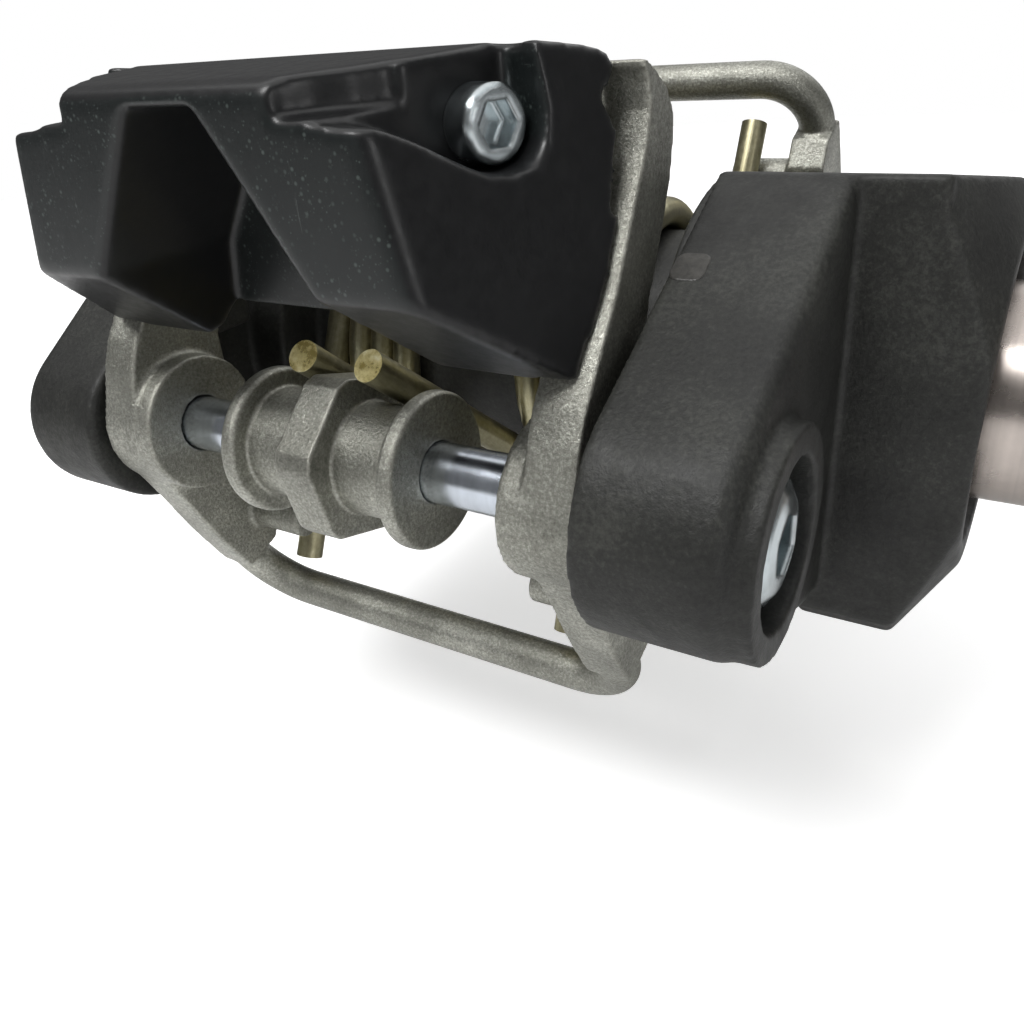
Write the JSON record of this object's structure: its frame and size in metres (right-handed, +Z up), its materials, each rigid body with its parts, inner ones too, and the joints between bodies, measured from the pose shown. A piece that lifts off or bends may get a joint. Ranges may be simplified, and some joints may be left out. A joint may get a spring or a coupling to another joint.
{
  "type": "clipless bicycle pedal",
  "caption": "Clip-in bicycle pedal with sprung cast jaws front and rear, nylon jaw pads, torsion springs coiled round the barrel, and a spindle on bearings.",
  "frame": {"origin": "on the spindle axis, at the shoulder that seats against the crank arm", "axes": "+X along the spindle towards the crank; Y along the sole, +Y towards the jaw whose loop is on top; +Z up out of the upper cleat face"},
  "size_m": [0.1071, 0.0852, 0.06],
  "materials": {
    "body_nylon": "fine grained, glass-filled",
    "pad_nylon": "semi-gloss moulded",
    "cast_steel": "grainy cast, satin nickel tone",
    "spring_wire": "drawn wire with an olive-yellow passivated coat",
    "plated_steel": "bright zinc plate",
    "bearing_steel": "ground and polished",
    "turned_steel": "turned",
    "seal_rubber": "matte"
  },
  "bodies": {
    "spindle": {"spindle": "turned_steel", "inboard_bearing_inner_ring": "bearing_steel", "outboard_bearing_inner_ring": "bearing_steel", "spindle_nut": "turned_steel"},
    "pedal_body": {"body": "body_nylon", "dust_cap": "body_nylon", "inboard_bearing_outer_ring": "bearing_steel", "inboard_bearing_balls": "bearing_steel", "outboard_bearing_outer_ring": "bearing_steel", "outboard_bearing_balls": "bearing_steel", "lock_ring": "turned_steel", "spindle_seal": "seal_rubber", "front_shaft": "plated_steel", "rear_shaft": "plated_steel", "shaft_screws": "plated_steel", "front_spring_left": "spring_wire", "front_spring_right": "spring_wire", "rear_spring_left": "spring_wire", "rear_spring_right": "spring_wire"},
    "front_claw": {"front_jaw": "cast_steel", "front_pad": "pad_nylon", "front_pad_screws": "plated_steel"},
    "rear_claw": {"rear_jaw": "cast_steel", "rear_pad": "pad_nylon", "rear_pad_screws": "plated_steel"},
    "front_spool_body": {"front_spool": "cast_steel"},
    "rear_spool_body": {"rear_spool": "cast_steel"}
  },
  "joints": [
    {"name": "spindle_bearing", "type": "hinge", "parent": "spindle", "child": "pedal_body", "pos_m": [-0.058, 0, 0], "axis": [1, 0, 0], "continuous": true},
    {"name": "front_jaw_pivot", "type": "hinge", "parent": "pedal_body", "child": "front_claw", "pos_m": [-0.058, -0.0311, 0], "axis": [1, 0, 0], "range_deg": [0, 14], "stiffness_Nm_per_rad": 7.4, "springref_deg": -34.38, "deforming": ["front_spring_left", "front_spring_right"]},
    {"name": "rear_jaw_pivot", "type": "hinge", "parent": "pedal_body", "child": "rear_claw", "pos_m": [-0.058, 0.0311, 0], "axis": [1, 0, 0], "range_deg": [0, 14], "stiffness_Nm_per_rad": 7.4, "springref_deg": -34.38, "deforming": ["rear_spring_left", "rear_spring_right"]},
    {"name": "front_spool_turn", "type": "hinge", "parent": "pedal_body", "child": "front_spool_body", "pos_m": [-0.058, -0.0311, 0], "axis": [1, 0, 0], "continuous": true},
    {"name": "rear_spool_turn", "type": "hinge", "parent": "pedal_body", "child": "rear_spool_body", "pos_m": [-0.058, 0.0311, 0], "axis": [1, 0, 0], "continuous": true}
  ]
}
